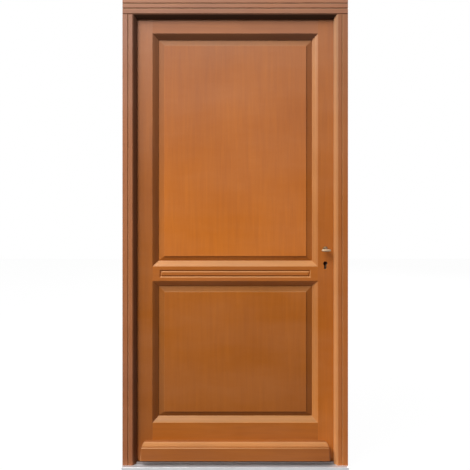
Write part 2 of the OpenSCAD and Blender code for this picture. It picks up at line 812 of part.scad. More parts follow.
// shaft of the keyhole flap's pin, g grows it
module flap_pivot(y0, y1, g) {
  rod_y(lock_x, flap_pin_z, y0, y1, flap_pin_r + g);
}

// shapes a rail's ends over the stiles' mouldings
module coped() difference() {
  children();
  stile_plain();
  mirror([1, 0, 0]) stile_plain();
}

module top_rail() color("sandybrown") {
  coped() along_x(2 * x_flat)
    polygon(concat([[z_top, y_leaf]], moulded_edge(z_top_flat, -1), [[z_top, y_in]]));
  for (m = [0, 1]) mirror([m, 0, 0]) top_tenon(0);
}

// ring-shaped V groove in the middle rail's outside face
module loop_groove() {
  zc = (mid_rail_z + z_mid_top) / 2;
  xo = x_flat - loop_inset;
  difference() {
    loop_prism(xo + loop_w / 2 * over / loop_d, xo - loop_w / 2, zc, loop_h / 2, -over);
    loop_prism(xo - loop_w, xo - loop_w / 2, zc, loop_h / 2 - loop_w, 0);
  }
}

// block with sloping sides: half width a at the face and b at the groove's floor
module loop_prism(a, b, zc, h, lift) {
  dh = b - a;
  hh = lift < 0 ? h + loop_w / 2 * over / loop_d : h;
  intersection() {
    translate([0, 0, zc - loop_h]) linear_extrude(height = 2 * loop_h)
      polygon([[-a, y_leaf + lift], [a, y_leaf + lift], [b, y_leaf + loop_d], [-b, y_leaf + loop_d]]);
    along_x(2 * x_flat)
      polygon([[zc - hh, y_leaf + lift], [zc + hh, y_leaf + lift],
               [zc + hh + dh, y_leaf + loop_d], [zc - hh - dh, y_leaf + loop_d]]);
  }
}

module middle_rail() color("sandybrown") {
  upper = moulded_edge(z_mid_top, 1);
  lower = moulded_edge(mid_rail_z, -1);
  difference() {
    coped() along_x(2 * x_flat)
      polygon(concat(upper, [for (i = [len(lower) - 1:-1:0]) lower[i]]));
    loop_groove();
    translate([0, 2 * y_mid, 0]) mirror([0, 1, 0]) loop_groove();
  }
  for (m = [0, 1]) mirror([m, 0, 0]) mid_tenon(0);
}

module bottom_rail() color("sandybrown") {
  difference() {
    coped() along_x(2 * x_flat)
      polygon(concat([[z_foot, y_leaf]], moulded_edge(bottom_rail_z, 1), [[z_foot, y_in]]));
    wb_groove(tenon_play);
  }
  for (m = [0, 1]) mirror([m, 0, 0]) bottom_tenon(0);
}

// raised panel in the opening between two rails' flat edges
module panel(z0, z1) {
  pz0 = z0 + stick_w - tongue_l;
  pz1 = z1 - stick_w + tongue_l;
  px = x_open + tongue_l;
  intersection() {
    translate([0, 0, pz0]) linear_extrude(height = pz1 - pz0) polygon(panel_section(-px, px, bevel_w));
    along_x(2 * px) polygon(panel_section(pz0, pz1, foot_bevel_w));
  }
}

module upper_panel() color("chocolate") panel(z_mid_top, z_top_flat);

module lower_panel() color("chocolate") panel(bottom_rail_z, mid_rail_z);

// side profile of the weatherboard as [z, y]
module wb_profile() {
  y_tip = y_leaf - wb_out;
  y_slope = y_tip + wb_step;
  difference() {
    union() {
      polygon(concat(
        [[wb_bottom_z, y_leaf], [wb_top_z, y_leaf], [wb_top_z, y_leaf - wb_ledge]],
        [for (i = [0:arc_n]) [wb_top_z - wb_wall - wb_slope * sin(90 * i / arc_n),
          y_leaf - wb_ledge - (y_leaf - wb_ledge - y_slope) * (1 - cos(90 * i / arc_n))]],
        [[wb_nose_z - wb_quirk, y_slope], [wb_nose_z - wb_quirk, y_tip + wb_bead],
         [wb_nose_z - wb_drop - wb_bead, y_tip], [wb_bottom_z, y_tip]]));
      translate([wb_nose_z - wb_drop - wb_bead, y_tip + wb_bead]) circle(r = wb_bead);
    }
    translate([wb_bottom_z - over, y_tip + drip_w]) square([drip_d + over, drip_w]);
  }
}

module weatherboard() color("burlywood") {
  y_tip = y_leaf - wb_out;
  intersection() {
    along_x(2 * wb_low) wb_profile();
    along_y(y_tip - over, y_leaf + over)
      polygon([[-wb_low, wb_bottom_z], [wb_low, wb_bottom_z], [wb_nose, wb_nose_z], [wb_up, wb_top_z],
               [-wb_up, wb_top_z], [-wb_nose, wb_nose_z]]);
    translate([0, 0, wb_bottom_z]) linear_extrude(height = wb_top_z - wb_bottom_z)
      polygon(concat(
        [[-wb_low, y_leaf]],
        [for (i = [0:arc_n])
          [-wb_low + wb_corner * (1 - cos(90 * i / arc_n)), y_tip + wb_corner * (1 - sin(90 * i / arc_n))]],
        [for (i = [arc_n:-1:0])
          [wb_low - wb_corner * (1 - cos(90 * i / arc_n)), y_tip + wb_corner * (1 - sin(90 * i / arc_n))]],
        [[wb_low, y_leaf]]));
  }
  wb_groove(0);
}

module bolt_mouth(z, h) {
  box([case_x1 - case_wall - over, y_mid - bolt_t / 2 - bolt_clear, z - h / 2 - bolt_clear],
      [x_edge + over, y_mid + bolt_t / 2 + bolt_clear, z + h / 2 + bolt_clear]);
}

module lock_case() color("gray") difference() {
  union() {
    difference() {
      box([case_x0, case_y0, case_z - case_h / 2], [case_x1, case_y1 - case_wall, case_z + case_h / 2]);
      box([case_x0 + case_wall, case_y0 + case_wall, case_z - case_h / 2 + case_wall],
          [case_x1 - case_wall, case_y1, case_z + case_h / 2 - case_wall]);
    }
    for (z = [latch_z, bolt_z]) rod_y(post_x, z, case_y0 + case_wall / 2, case_y1 - case_wall, post_r);
  }
  bolt_mouth(latch_z, latch_h);
  bolt_mouth(bolt_z, bolt_h);
  rod_y(lock_x, knob_z, case_y0 - over, case_y0 + case_wall + over, hub_r + hub_clear);
  along_y(case_y0 - over, case_y0 + case_wall + over) keyhole_2d();
}

module lock_cover() color("darkgray") difference() {
  box([case_x0, case_y1 - case_wall, case_z - case_h / 2], [case_x1, case_y1, case_z + case_h / 2]);
  rod_y(lock_x, knob_z, case_y1 - case_wall - over, case_y1 + over, hub_r + hub_clear);
  along_y(case_y1 - case_wall - over, case_y1 + over) keyhole_2d();
}

module lock_faceplate() color("silver") difference() {
  box([case_x1, y_mid - faceplate_w / 2, case_z - faceplate_h / 2],
      [x_edge, y_mid + faceplate_w / 2, case_z + faceplate_h / 2]);
  bolt_mouth(latch_z, latch_h);
  bolt_mouth(bolt_z, bolt_h);
  faceplate_screw_set(screw_clear);
}

module faceplate_screws() color("gray") faceplate_screw_set(0);

module spindle_bar(y0, y1, g) {
  box([lock_x - spindle_s / 2 - g, y0, knob_z - spindle_s / 2 - g],
      [lock_x + spindle_s / 2 + g, y1, knob_z + spindle_s / 2 + g]);
}

module cross_pin_at(y, r) {
  translate([lock_x, y, knob_z - neck_r]) cylinder(h = 2 * neck_r, r = r);
}

module spindle() color("gray") difference() {
  spindle_bar(neck_in - spindle_in, 2 * y_mid - neck_in + spindle_in, 0);
  cross_pin_at(pin_y_out, cross_pin_r);
  cross_pin_at(pin_y_in, cross_pin_r);
}

module follower() color("darkgoldenrod") {
  y0 = case_y0 + case_wall + bolt_clear;
  y1 = case_y1 - case_wall - bolt_clear;
  difference() {
    union() {
      rod_y(lock_x, knob_z, case_y0, case_y1, hub_r);
      rod_y(lock_x, knob_z, y0, y1, flange_r);
      translate([lock_x, 0, knob_z]) rotate([0, -knob_swing / 2, 0]) {
        box([-arm_w / 2, y0, hub_r], [arm_w / 2, y1, arm_r]);
        rod_y(0, arm_r, y0, y1, arm_tip_r);
      }
    }
    spindle_bar(case_y0 - over, case_y1 + over, spindle_clear);
  }
}

module flap_pin() color("gold") {
  flap_pivot(y_in - flap_pin_l, flap_out + flap_play + flap_head_h / 2, 0);
  rod_y(lock_x, flap_pin_z, flap_out + flap_play, flap_out + flap_play + flap_head_h, flap_head_r);
}

module keyhole_flap() color("gold") difference() {
  along_y(y_in + flap_play, flap_out) {
    translate([lock_x, flap_pin_z]) circle(r = flap_r);
    translate([lock_x, key_z - flap_drop]) circle(r = flap_r);
    translate([lock_x - flap_r, key_z - flap_drop]) square([2 * flap_r, flap_up + flap_drop]);
  }
  flap_pivot(y_in, flap_out + over, flap_play);
}

// knob with its cross bar on the outside
module knob_shape() difference() {
  union() {
    rod_y(lock_x, knob_z, y_leaf - bar_out, neck_in, neck_r);
    translate([lock_x, y_leaf - bar_out, knob_z - bar_drop])
      rotate([0, 90, 0]) rotate_extrude() polygon(concat(
      [[0, -bar_l / 2]],
      [for (i = [-arc_n:arc_n])
        [bar_end_r + (bar_r - bar_end_r) * cos(90 * i / arc_n), bar_l / 2 * i / arc_n]],
      [[0, bar_l / 2]]));
  }
  spindle_bar(neck_in - spindle_in - over, neck_in + over, spindle_clear);
  cross_pin_at(pin_y_out, cross_pin_r);
}

module outer_knob() color("gold") knob_shape();

module inner_knob() color("gold") translate([0, 2 * y_mid, 0]) mirror([0, 1, 0]) knob_shape();

module knob_pins() color("gray") {
  cross_pin_at(pin_y_out, cross_pin_r);
  cross_pin_at(pin_y_in, cross_pin_r);
}

// slot in a bolt that rides on its guide post
module post_slot(z, throw) {
  box([post_x - throw, y_mid - bolt_t, z - post_r - bolt_clear],
      [post_x, y_mid + bolt_t, z + post_r + bolt_clear]);
  for (x = [post_x - throw, post_x]) rod_y(x, z, y_mid - bolt_t, y_mid + bolt_t, post_r + bolt_clear);
}

module latch_bolt() color("lightsteelblue") {
  slot_x = lock_x - arm_r * sin(knob_swing / 2);
  slot_w = arm_tip_r + arm_play;
  difference() {
    union() {
      box([post_x + post_r + 2 * bolt_clear, y_mid - bolt_t / 2, latch_z - latch_h / 2],
          [bolt_nose, y_mid + bolt_t / 2, latch_z + latch_h / 2]);
      box([bolt_nose - latch_l, y_mid - bolt_t / 2, latch_z - latch_tail_h / 2],
          [bolt_nose, y_mid + bolt_t / 2, latch_z + latch_tail_h / 2]);
    }
    post_slot(latch_z, latch_throw);
    box([slot_x - slot_w, y_mid - bolt_t, latch_z - latch_h],
        [slot_x + slot_w, y_mid + bolt_t, knob_z + arm_r + slot_w]);
  }
}

module deadbolt() color("lightsteelblue") difference() {
  box([bolt_nose - bolt_l, y_mid - bolt_t / 2, bolt_z - bolt_h / 2],
      [bolt_nose, y_mid + bolt_t / 2, bolt_z + bolt_h / 2]);
  post_slot(bolt_z, bolt_throw);
  box([lock_x - talon_w, y_mid - bolt_t, bolt_z - bolt_h],
      [lock_x, y_mid + bolt_t, bolt_z - bolt_h / 2 + talon_d]);
}

hinge_jamb();
lock_jamb();
frame_head();
sill();
sill_break();
sill_inner();
sill_screws();
hinge_jamb_seal();
lock_jamb_seal();
head_seal();
sill_seal();
top_hinge_frame_half();
middle_hinge_frame_half();
bottom_hinge_frame_half();
hinge_pins();
hinge_washers();
frame_hinge_screws();
strike_plate();
strike_screws();
hinge_stile();
lock_stile();
top_rail();
middle_rail();
bottom_rail();
upper_panel();
lower_panel();
weatherboard();
top_hinge_leaf_half();
middle_hinge_leaf_half();
bottom_hinge_leaf_half();
leaf_hinge_screws();
lock_case();
lock_cover();
lock_faceplate();
faceplate_screws();
flap_pin();
keyhole_flap();
spindle();
follower();
outer_knob();
inner_knob();
knob_pins();
latch_bolt();
deadbolt();
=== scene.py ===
import math

import bmesh
import bpy
from mathutils import Matrix, Vector


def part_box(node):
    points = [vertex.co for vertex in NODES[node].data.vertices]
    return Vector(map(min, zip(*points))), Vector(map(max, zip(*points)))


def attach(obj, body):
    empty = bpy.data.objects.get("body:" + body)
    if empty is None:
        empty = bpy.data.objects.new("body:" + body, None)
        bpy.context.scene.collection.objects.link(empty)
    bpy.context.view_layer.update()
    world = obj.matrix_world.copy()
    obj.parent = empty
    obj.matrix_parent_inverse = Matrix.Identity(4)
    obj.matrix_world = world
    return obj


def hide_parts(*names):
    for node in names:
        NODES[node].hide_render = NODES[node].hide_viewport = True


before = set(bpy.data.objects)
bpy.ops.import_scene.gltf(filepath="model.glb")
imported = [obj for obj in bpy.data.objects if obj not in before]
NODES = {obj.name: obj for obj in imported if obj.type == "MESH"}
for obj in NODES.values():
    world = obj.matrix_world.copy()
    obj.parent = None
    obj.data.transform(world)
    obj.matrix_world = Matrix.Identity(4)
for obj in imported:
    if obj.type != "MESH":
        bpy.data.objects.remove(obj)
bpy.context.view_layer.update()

bl_info = {
    "name": "Wooden Front Door",
    "version": (1, 0, 0),
    "blender": (4, 5, 0),
    "location": "View3D > Sidebar > Front Door",
    "description": "Finishes, fittings and studio stage for a panelled wooden front door in its frame",
    "category": "Object",
}

# wooden pieces by the direction of their grain, each with a lightness of its own
UPRIGHT_WOOD = {"hinge_jamb": 0.84, "lock_jamb": 0.90, "hinge_stile": 0.82, "lock_stile": 0.985,
                "upper_panel": 1.11, "lower_panel": 0.85}
LEVEL_WOOD = {"frame_head": 0.80, "top_rail": 0.88, "middle_rail": 1.01, "bottom_rail": 0.93,
              "weatherboard": 0.93}
# share of the pale weathering tone on the outer pieces, which on the head and the left jamb is also a painted
# sheen
WEATHER_AND_SHEEN = {"hinge_jamb": 1.2, "lock_jamb": 0.4, "frame_head": 0.65, "hinge_stile": 0.1, "weatherboard": 0.3}
# painted light and shade along the height: share by which a board is lighter at its foot than at its middle, and
# darker where it is less than 0
HEIGHT_LIGHT_SHADE = {"upper_panel": 0.16, "lock_stile": 0.15, "lock_jamb": 0.26, "hinge_jamb": 0.05, "lower_panel": -0.08,
         "frame_head": -0.10, "hinge_stile": -0.07, "bottom_rail": -0.05}
# painted shade in the hollows, where less light falls, and painted light where the tone is over 1, on the lock
# jamb's lit reveal:
# the depth behind the face at which it is full, the tone there, and the way the faces that have it are turned, or
# none for all of them
HOLLOW_SHADE_LIGHT = {"upper_panel": (0.003, 0.75, None), "lower_panel": (0.003, 0.75, None),
           "top_rail": (0.004, 0.62, None), "bottom_rail": (0.004, 0.86, None),
           "frame_head": (0.006, 0.20, (0, 0, -1)), "hinge_jamb": (0.006, 0.45, (1, 0, 0)),
           "lock_jamb": (0.012, 1.20, (-1, 0, 0)), "hinge_stile": (0.004, 0.84, (1, 0, 0))}
# share of that depth at which the painted shade of a hollow starts, and how far its faces are turned
SHADE_START = 0.3
SHADE_TURNED = (0.2, 0.5)
# heights between which a painted sheen pales the varnish towards the top, and how late it sets in
SHEEN_FROM = 0.9
SHEEN_FULL = 2.1
SHEEN_POWER = 2.0
# way to the key light, and how far a face is turned to it where the painted highlight starts and is full
KEY_WAY = (-0.45, -0.25, 0.85)
LIT_TURNED = (0.3, 0.6)
# stretch of the streaks and the fibres along the grain, and what the streaks, fibres and clouds count
STREAK_STRETCH = 0.055
FIBRE_STRETCH = 0.022
STREAK_WEIGHT = 0.36
FIBRE_WEIGHT = 0.10
CLOUD_WEIGHT = 0.54
# steps by which the grain of one board is moved from that of the last, and its patches from its grain
BOARD_STEP = (1.37, 0.71, 2.13)
PATCH_STEP = (0.37, 0.0, 0.29)
# levels between which most of the grain and of a plain noise lies
GRAIN_RANGE = (0.34, 0.66)
NOISE_RANGE = (0.3, 0.7)
# strength of the varnish, which the painted shade of the hollows dulls there, and the painted light of the lock
# jamb's reveal raises
VARNISH = {"Specular IOR Level": 0.2, "Coat Weight": 0.15}
COAT_ROUGHNESS = 0.36
# where the painted shadow under the weatherboard starts and is full on the threshold, behind its outer edge
SHADOW_START = 0.029
SHADOW_FULL = 0.036
METAL_ARRIS = 0.0004
# parts of a screw head's radius: lip, socket, depth of the socket; and the socket's lobes
SCREW_LIP = 0.06
SCREW_SOCKET = 0.40
SCREW_DEPTH = 0.35
SCREW_LOBES = 6
SCREW_LOBE = 0.16
# cross bar of the knobs: share of its radius at the ends, and how sharply the ends are rounded
BAR_END = 0.42
BAR_ROUNDING = 2.6
BAR_STEPS = 24
# neck of the knobs: (share of its length from the bar, share of its radius)
NECK = ((0.1, 0.0), (0.11, 0.4), (0.15, 0.55), (0.24, 0.62), (0.42, 0.66), (0.58, 0.8),
        (0.64, 1.0), (1.0, 1.0), (1.0, 0.0))
MERGE = 0.00001
SPIN_MERGE = 0.00002
# lamps: name, its power among the stage's settings, width, height, place and aim
LAMPS = (("Key lamp", "key", 6.6, 6.6, (-6.1, -5.9, 9.6), (0, 0, 1.2)),
         ("Sheen lamp", "sheen", 3.0, 1.6, (-1.5, -5.6, 4.8), (0, 0, 1.6)),
         ("Sky lamp", "sky", 4.0, 3.0, (-0.6, -2.8, 7.6), (0, 0, 1.0)),
         ("House lamp", "house", 3.0, 3.0, (2.6, 5.4, 4.2), (0, 0, 1.1)))
# floor: half its size, its share of white as it is seen, and its colour as it is seen and as it throws light back
FLOOR_SIZE = 9
FLOOR_WHITE = 0.97
FLOOR_SEEN = (0.95, 0.95, 0.95)
FLOOR_LIT = (0.08, 0.08, 0.08)
# way to the bright side of the soft light from all round
BRIGHT_WAY = (-0.5, -0.4, 0.77)
HINGE_HALVES = ["top_hinge_frame_half", "middle_hinge_frame_half", "bottom_hinge_frame_half",
                "top_hinge_leaf_half", "middle_hinge_leaf_half", "bottom_hinge_leaf_half"]
SEALS = ["hinge_jamb_seal", "lock_jamb_seal", "head_seal", "sill_seal"]
LOCK_STEEL = ["strike_plate", "lock_case", "lock_cover", "lock_faceplate", "spindle", "latch_bolt",
              "deadbolt"]


class WoodLook(bpy.types.PropertyGroup):
    """Stain and grain of the wood."""

    stain_light: bpy.props.FloatVectorProperty(
        name="Light stain", description="Colour of the stain on the soft, light part of the grain",
        subtype="COLOR", size=3, min=0, max=1, default=(0.470, 0.128, 0.006))
    stain_dark: bpy.props.FloatVectorProperty(
        name="Dark stain", description="Colour of the stain on the hard, dark part of the grain",
        subtype="COLOR", size=3, min=0, max=1, default=(0.361, 0.091, 0.004))
    # pale tone of weathering on the frame, partly also a painted sheen of the bright light in the varnish
    weather_and_sheen: bpy.props.FloatVectorProperty(
        name="Weathering and sheen", description="Pale tone that the weather adds to the stain of the frame",
        subtype="COLOR", size=3, min=0, max=1, default=(0.0, 0.018, 0.027))
    figure_width: bpy.props.FloatProperty(
        name="Figure width", description="Distance between the broad streaks across the grain",
        unit="LENGTH", default=0.016, min=0.004)
    fibre_width: bpy.props.FloatProperty(
        name="Fibre width", description="Distance between the fine fibres across the grain",
        unit="LENGTH", default=0.0022, min=0.0005)
    varnish_roughness: bpy.props.FloatProperty(
        name="Varnish roughness", description="Roughness of the satin varnish",
        subtype="FACTOR", default=0.48, min=0, max=1)
    haze: bpy.props.FloatVectorProperty(
        name="Haze", description="Pale tone of the soft patches in the varnish",
        subtype="COLOR", size=3, min=0, max=1, default=(0.030, 0.024, 0.019))
    # painted highlight: a golden tone on the faces turned towards the key light, in place of its sheen
    lit_highlight: bpy.props.FloatVectorProperty(
        name="Painted highlight", description="Golden tone that the sun adds to the faces turned towards it",
        subtype="COLOR", size=3, min=0, max=1, default=(0.048, 0.082, 0.048))
    # painted sheen: a pale tone that grows towards the top, where the varnish mirrors the bright light in front
    top_sheen: bpy.props.FloatVectorProperty(
        name="Top sheen", description="Pale tone of the old varnish at the height of the head",
        subtype="COLOR", size=3, min=0, max=1, default=(0.0, 0.038, 0.050))
    arris: bpy.props.FloatProperty(
        name="Softened arris", description="Width of the softened edges of the wood",
        unit="LENGTH", default=0.0008, min=0)


class MetalLook(bpy.types.PropertyGroup):
    """Colours of the metal, plastic and rubber pieces."""

    aluminium: bpy.props.FloatVectorProperty(
        name="Aluminium", description="Satin anodised aluminium of the threshold",
        subtype="COLOR", size=3, min=0, max=1, default=(0.65, 0.65, 0.67))
    # painted shadow: the dark band on the threshold where the weatherboard shades it, not dirt
    sill_shadow: bpy.props.FloatVectorProperty(
        name="Sill shadow", description="Dirt that gathers on the threshold under the weatherboard",
        subtype="COLOR", size=3, min=0, max=1, default=(0.11, 0.06, 0.036))
    hinge: bpy.props.FloatVectorProperty(
        name="Hinge steel", description="Satin steel of the hinges",
        subtype="COLOR", size=3, min=0, max=1, default=(0.56, 0.54, 0.51))
    lock: bpy.props.FloatVectorProperty(
        name="Lock steel", description="Plain steel of the lock",
        subtype="COLOR", size=3, min=0, max=1, default=(0.50, 0.50, 0.50))
    knob: bpy.props.FloatVectorProperty(
        name="Knob metal", description="Polished metal of the knobs",
        subtype="COLOR", size=3, min=0, max=1, default=(0.44, 0.31, 0.19))
    brass: bpy.props.FloatVectorProperty(
        name="Brass", description="Brass of the washers and the follower",
        subtype="COLOR", size=3, min=0, max=1, default=(0.78, 0.57, 0.25))
    # its dark red-brown also paints the shade seen through the keyhole
    flap: bpy.props.FloatVectorProperty(
        name="Keyhole flap", description="Blackened metal of the keyhole flap",
        subtype="COLOR", size=3, min=0, max=1, default=(0.050, 0.022, 0.012))
    rubber: bpy.props.FloatVectorProperty(
        name="Rubber", description="Dark rubber of the seals",
        subtype="COLOR", size=3, min=0, max=1, default=(0.035, 0.022, 0.016))
    plastic: bpy.props.FloatVectorProperty(
        name="Insulating bar", description="Black plastic of the insulating bar",
        subtype="COLOR", size=3, min=0, max=1, default=(0.02, 0.02, 0.021))


class StageLook(bpy.types.PropertyGroup):
    """Camera, floor and lights."""

    distance: bpy.props.FloatProperty(
        name="Camera distance", description="Distance of the camera from the frame's outside face",
        unit="LENGTH", default=2.512)
    height: bpy.props.FloatProperty(
        name="Camera height", description="Height of the camera above the floor",
        unit="LENGTH", default=1.2856)
    key: bpy.props.FloatProperty(
        name="Key light", description="Power of the large soft lamp on the upper left",
        unit="POWER", default=1900)
    sheen: bpy.props.FloatProperty(
        name="Sheen light", description="Power of the wide lamp in front that shines in the varnish",
        unit="POWER", default=75)
    sky: bpy.props.FloatProperty(
        name="Sky light", description="Power of the wide lamp overhead that shines in the upward slopes",
        unit="POWER", default=110)
    house: bpy.props.FloatProperty(
        name="House light", description="Power of the soft lamp behind the door, on the house side",
        unit="POWER", default=420)
    ambient: bpy.props.FloatProperty(
        name="Ambient", description="Strength of the soft light from all round",
        subtype="FACTOR", default=0.02)


def look(name):
    return getattr(bpy.context.scene, name)


def new_material(name):
    material = bpy.data.materials.new(name)
    material.use_nodes = True
    tree = material.node_tree
    return material, tree, tree.nodes["Principled BSDF"]


def add(tree, kind, place, **values):
    node = tree.nodes.new(kind)
    node.location = place
    for key, value in values.items():
        setattr(node, key, value)
    return node


def object_mapping(tree, scale, shift=(0, 0, 0)):
    """Object coordinates stretched by scale and moved by shift."""
    coordinates = add(tree, "ShaderNodeTexCoord", (-1300, 0))
    mapping = add(tree, "ShaderNodeMapping", (-1100, 0))
    mapping.inputs["Scale"].default_value = scale
    mapping.inputs["Location"].default_value = shift
    tree.links.new(coordinates.outputs["Object"], mapping.inputs["Vector"])
    return mapping.outputs["Vector"]


def noise(tree, vector, scale, detail, roughness, place, distortion=0.0):
    texture = add(tree, "ShaderNodeTexNoise", place)
    texture.inputs["Scale"].default_value = scale
    texture.inputs["Detail"].default_value = detail
    texture.inputs["Roughness"].default_value = roughness
    texture.inputs["Distortion"].default_value = distortion
    tree.links.new(vector, texture.inputs["Vector"])
    return texture.outputs["Fac"]


def math_node(tree, operation, values, place):
    """Math node on values that are numbers or sockets."""
    node = add(tree, "ShaderNodeMath", place, operation=operation)
    for socket, value in zip(node.inputs, values):
        if isinstance(value, (int, float)):
            socket.default_value = value
        else:
            tree.links.new(value, socket)
    return node.outputs[0]


def bump(tree, shader, height, strength, distance, place):
    node = add(tree, "ShaderNodeBump", place)
    node.inputs["Strength"].default_value = strength
    node.inputs["Distance"].default_value = distance
    tree.links.new(height, node.inputs["Height"])
    tree.links.new(node.outputs["Normal"], shader.inputs["Normal"])


def tone_along(tree, value, start, end, place):
    """Tone that goes from one (level, tone) to another along a value."""
    level = add(tree, "ShaderNodeMapRange", place)
    for socket, number in zip(("From Min", "To Min", "From Max", "To Max"), (*start, *end)):
        level.inputs[socket].default_value = number
    tree.links.new(value, level.inputs["Value"])
    return level.outputs["Result"]


def span(tree, value, low, high, place):
    """Spreads a noise over low to high."""
    return tone_along(tree, value, (NOISE_RANGE[0], low), (NOISE_RANGE[1], high), place)


def axes(tree, place):
    """X, Y and Z of the object coordinates."""
    coordinates = add(tree, "ShaderNodeTexCoord", (place[0] - 200, place[1]))
    split = add(tree, "ShaderNodeSeparateXYZ", place)
    tree.links.new(coordinates.outputs["Object"], split.inputs[0])
    return split.outputs


def facing(tree, output, way, place):
    """How far a vector of the texture coordinates points a way."""
    coordinates = add(tree, "ShaderNodeTexCoord", (place[0] - 200, place[1]))
    dot = add(tree, "ShaderNodeVectorMath", place, operation="DOT_PRODUCT")
    dot.inputs[1].default_value = way
    tree.links.new(coordinates.outputs[output], dot.inputs[0])
    return dot.outputs["Value"]


def turned(tree, way, limits, place):
    """Share from 0 to 1 by how far a face of a board is turned a way, between two limits."""
    toward = facing(tree, "Normal", way, (place[0] - 200, place[1]))
    return tone_along(tree, toward, (limits[0], 0.0), (limits[1], 1.0), place)


def blend(tree, kind, share, base, colour, place):
    """A share of a colour, added to a base colour or mixed with it."""
    node = add(tree, "ShaderNodeMix", place, data_type="RGBA", blend_type=kind)
    tree.links.new(share, node.inputs[0])
    tree.links.new(base, node.inputs[6])
    node.inputs[7].default_value = (*colour, 1)
    return node.outputs[2]


def two_tone(tree, value, limits, dark, light, place):
    """Colour that goes from dark to light between two limits of a value."""
    ramp = add(tree, "ShaderNodeValToRGB", place)
    for element, limit, colour in zip(ramp.color_ramp.elements, limits, (dark, light)):
        element.position = limit
        element.color = (*colour, 1)
    tree.links.new(value, ramp.inputs["Fac"])
    return ramp.outputs["Color"]


def painted_board_light(tree, node):
    """Painted light and shade of a board along its height, and painted shade of its hollows (painted light on the
    lock jamb's reveal) by the depth behind either face, or none.
    """
    low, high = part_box(node)
    # painted light and shade along the board's height
    height_share = HEIGHT_LIGHT_SHADE.get(node, 0.0)
    _, y, z = axes(tree, (-1100, -600))
    tone = tone_along(tree, z, (low.z, 1 + height_share), (high.z, 1 - height_share), (-450, -800))
    if node not in HOLLOW_SHADE_LIGHT:
        return tone, None
    near, full, way = HOLLOW_SHADE_LIGHT[node]
    offset = math_node(tree, "SUBTRACT", (y, (low.y + high.y) / 2), (-900, -600))
    inset = math_node(tree, "ABSOLUTE", (offset,), (-750, -600))
    depth = math_node(tree, "SUBTRACT", ((high.y - low.y) / 2, inset), (-600, -600))
    # painted shade that deepens with the depth behind the face; a tone over 1 paints light instead
    change = tone_along(tree, depth, (near * SHADE_START, 0.0), (near, full - 1), (-450, -600))
    if way:
        share = turned(tree, way, SHADE_TURNED, (-450, -1000))
        change = math_node(tree, "MULTIPLY", (change, share), (-250, -800))
    hollow_shade = math_node(tree, "ADD", (change, 1.0), (-150, -700))
    return math_node(tree, "MULTIPLY", (tone, hollow_shade), (0, -700)), hollow_shade


def wood_grain(tree, upright, seed):
    """Grain along Z or along X, with its fibres and soft patches."""
    wood = look("door_wood")
    shift = tuple(seed * step for step in BOARD_STEP)
    drift = tuple(a + b for a, b in zip(shift, PATCH_STEP))
    long, fine = [(1.0, 1.0, stretch) if upright else (stretch, 1.0, 1.0)
                  for stretch in (STREAK_STRETCH, FIBRE_STRETCH)]
    streaks = noise(tree, object_mapping(tree, long, shift), scale=1 / wood.figure_width, detail=5.0,
                    roughness=0.55, place=(-800, 300), distortion=0.6)
    fibres = noise(tree, object_mapping(tree, fine, shift), scale=1 / wood.fibre_width, detail=2.0,
                   roughness=0.5, place=(-800, 0))
    clouds = noise(tree, object_mapping(tree, (1, 1, 0.6), shift), scale=2.2, detail=3.0,
                   roughness=0.5, place=(-800, -300))
    patches = noise(tree, object_mapping(tree, (0.4, 1, 1.2), drift), scale=5.0, detail=4.0,
                    roughness=0.6, place=(-800, 600))
    grain = 0.0
    for part, weight in ((streaks, STREAK_WEIGHT), (fibres, FIBRE_WEIGHT), (clouds, CLOUD_WEIGHT)):
        grain = math_node(tree, "MULTIPLY_ADD", (part, weight, grain), (-450, 100))
    return grain, fibres, patches


def wood_material(node, upright, shade, seed):
    """Stained and varnished wood with its grain along Z or along X."""
    wood = look("door_wood")
    weather_and_sheen = WEATHER_AND_SHEEN.get(node, 0.0)
    material, tree, shader = new_material("Wood " + node.replace("_", " "))
    grain, fibres, patches = wood_grain(tree, upright, seed)
    # the weathering tone, which also paints a sheen on the head and the left jamb
    stains = [[c * shade + w * weather_and_sheen for c, w in zip(stain, wood.weather_and_sheen)]
              for stain in (wood.stain_dark, wood.stain_light)]
    stained = two_tone(tree, grain, GRAIN_RANGE, *stains, (-150, 200))
    hazy = blend(tree, "ADD", span(tree, patches, 0.0, 1.0, (-150, 500)), stained, wood.haze, (50, 300))
    # painted highlight on the faces turned towards the key light
    lit_faces = blend(tree, "ADD", turned(tree, KEY_WAY, LIT_TURNED, (-300, 900)), hazy, wood.lit_highlight, (200, 300))
    # painted sheen that grows towards the top of the door
    height = axes(tree, (-300, 1200))["Z"]
    rise = tone_along(tree, height, (SHEEN_FROM, 0.0), (SHEEN_FULL, 1.0), (-100, 1200))
    late = math_node(tree, "POWER", (rise, SHEEN_POWER), (100, 1200))
    top_sheen = blend(tree, "ADD", late, lit_faces, wood.top_sheen, (300, 500))
    # painted light and shade along the height and in the hollows
    tone, hollow_shade = painted_board_light(tree, node)
    toned = add(tree, "ShaderNodeVectorMath", (450, 300), operation="SCALE")
    tree.links.new(top_sheen, toned.inputs[0])
    tree.links.new(tone, toned.inputs["Scale"])
    tree.links.new(toned.outputs[0], shader.inputs["Base Color"])
    rough = wood.varnish_roughness
    tree.links.new(span(tree, fibres, rough - 0.04, rough + 0.05, (-150, -100)), shader.inputs["Roughness"])
    # the painted shade of the hollows also dulls the varnish there
    for name, strength in VARNISH.items():
        shader.inputs[name].default_value = strength
        if hollow_shade:
            dulled = math_node(tree, "MULTIPLY", (hollow_shade, strength), (350, -200))
            tree.links.new(dulled, shader.inputs[name])
    shader.inputs["Coat Roughness"].default_value = COAT_ROUGHNESS
    bump(tree, shader, fibres, strength=0.12, distance=0.0004, place=(-150, -300))
    return material


